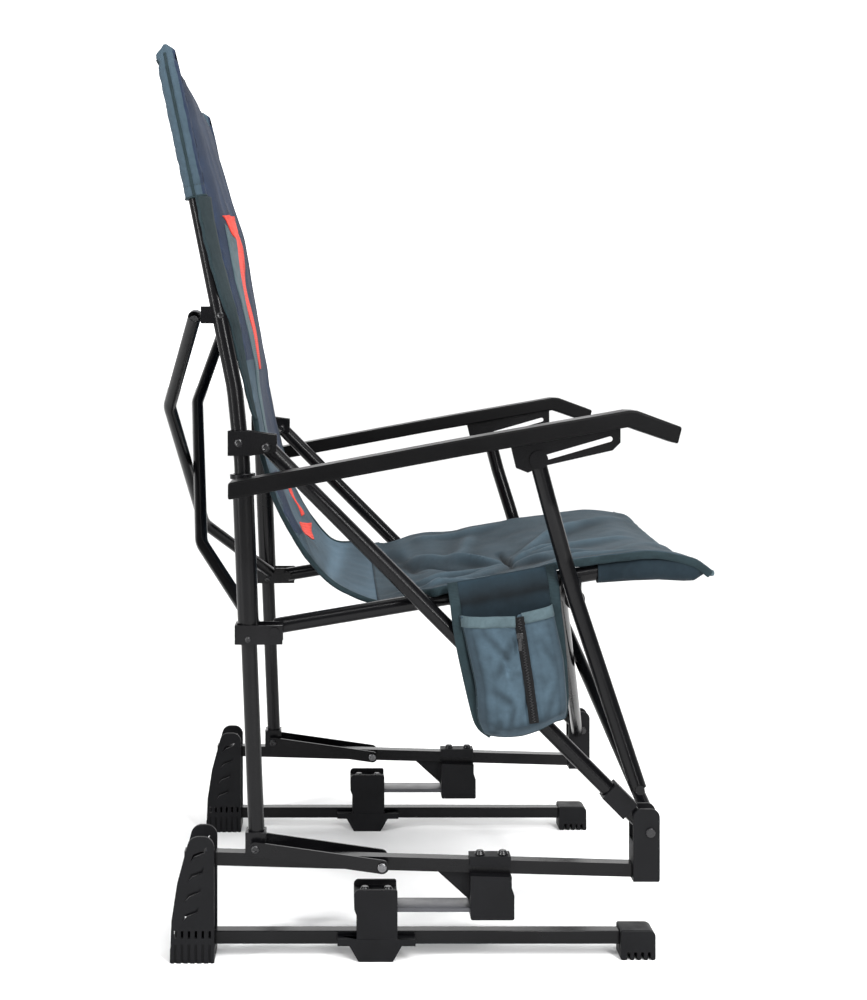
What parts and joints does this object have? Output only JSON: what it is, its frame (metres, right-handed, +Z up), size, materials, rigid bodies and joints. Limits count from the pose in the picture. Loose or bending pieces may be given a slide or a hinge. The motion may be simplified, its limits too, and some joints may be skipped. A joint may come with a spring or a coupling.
{
  "type": "camping rocking chair",
  "caption": "High-back camping chair with armrests that rocks on leaf-sprung rails, with a fabric sling and a side bag.",
  "frame": {"origin": "on the floor at the middle of the bounding box", "axes": "+X towards the front of the chair, +Y towards its left side as seated, +Z up"},
  "size_m": [0.6675, 0.658, 1.06],
  "materials": {
    "frame": "satin",
    "plastic": "moulded",
    "fastener": "satin",
    "spring": "satin",
    "arm": "satin",
    "fabric": "woven",
    "bag": "woven",
    "zip": "satin"
  },
  "bodies": {
    "base": {"near_ground_rail": "frame", "near_end_cap": "plastic", "near_rear_boot": "plastic", "near_lower_clamp": "plastic", "near_lower_bolts": "fastener", "near_leaf_spring": "spring", "far_ground_rail": "frame", "far_end_cap": "plastic", "far_rear_boot": "plastic", "far_lower_clamp": "plastic", "far_lower_bolts": "fastener", "far_leaf_spring": "spring"},
    "chair": {"backrest_sling": "fabric", "far_arm_strut": "frame", "far_armrest": "arm", "far_brace": "frame", "far_brace_bracket": "frame", "far_cross_bracket": "frame", "far_foot_bracket": "frame", "far_front_cross": "frame", "far_knuckle": "plastic", "far_pivot_bolts": "fastener", "far_post": "frame", "far_rear_cross": "frame", "far_rear_links": "frame", "far_seat_rail": "frame", "far_sleeve": "frame", "far_sleeve_bracket": "frame", "far_slider": "plastic", "far_slot_plate": "frame", "far_strut_hub": "plastic", "far_upper_bolts": "fastener", "far_upper_clamp": "plastic", "far_upper_rail": "frame", "near_arm_strut": "frame", "near_armrest": "arm", "near_brace": "frame", "near_brace_bracket": "frame", "near_cross_bracket": "frame", "near_foot_bracket": "frame", "near_front_cross": "frame", "near_knuckle": "plastic", "near_pivot_bolts": "fastener", "near_post": "frame", "near_rear_cross": "frame", "near_rear_links": "frame", "near_seat_rail": "frame", "near_sleeve": "frame", "near_sleeve_bracket": "frame", "near_slider": "plastic", "near_slot_plate": "frame", "near_strut_hub": "plastic", "near_upper_bolts": "fastener", "near_upper_clamp": "plastic", "near_upper_rail": "frame", "seat_sling": "fabric", "side_bag": "bag"},
    "zip": {"zip_pull": "zip"}
  },
  "joints": [
    {"name": "rock", "type": "hinge", "parent": "base", "child": "chair", "pos_m": [0, 0, 0.0595], "axis": [0, -1, 0], "range_deg": [-3, 10], "stiffness_Nm_per_rad": 440, "deforming": ["near_leaf_spring", "far_leaf_spring"]},
    {"name": "zip_travel", "type": "slide", "parent": "chair", "child": "zip", "axis": [0, 0, -1], "range_m": [0, 0.084]}
  ]
}
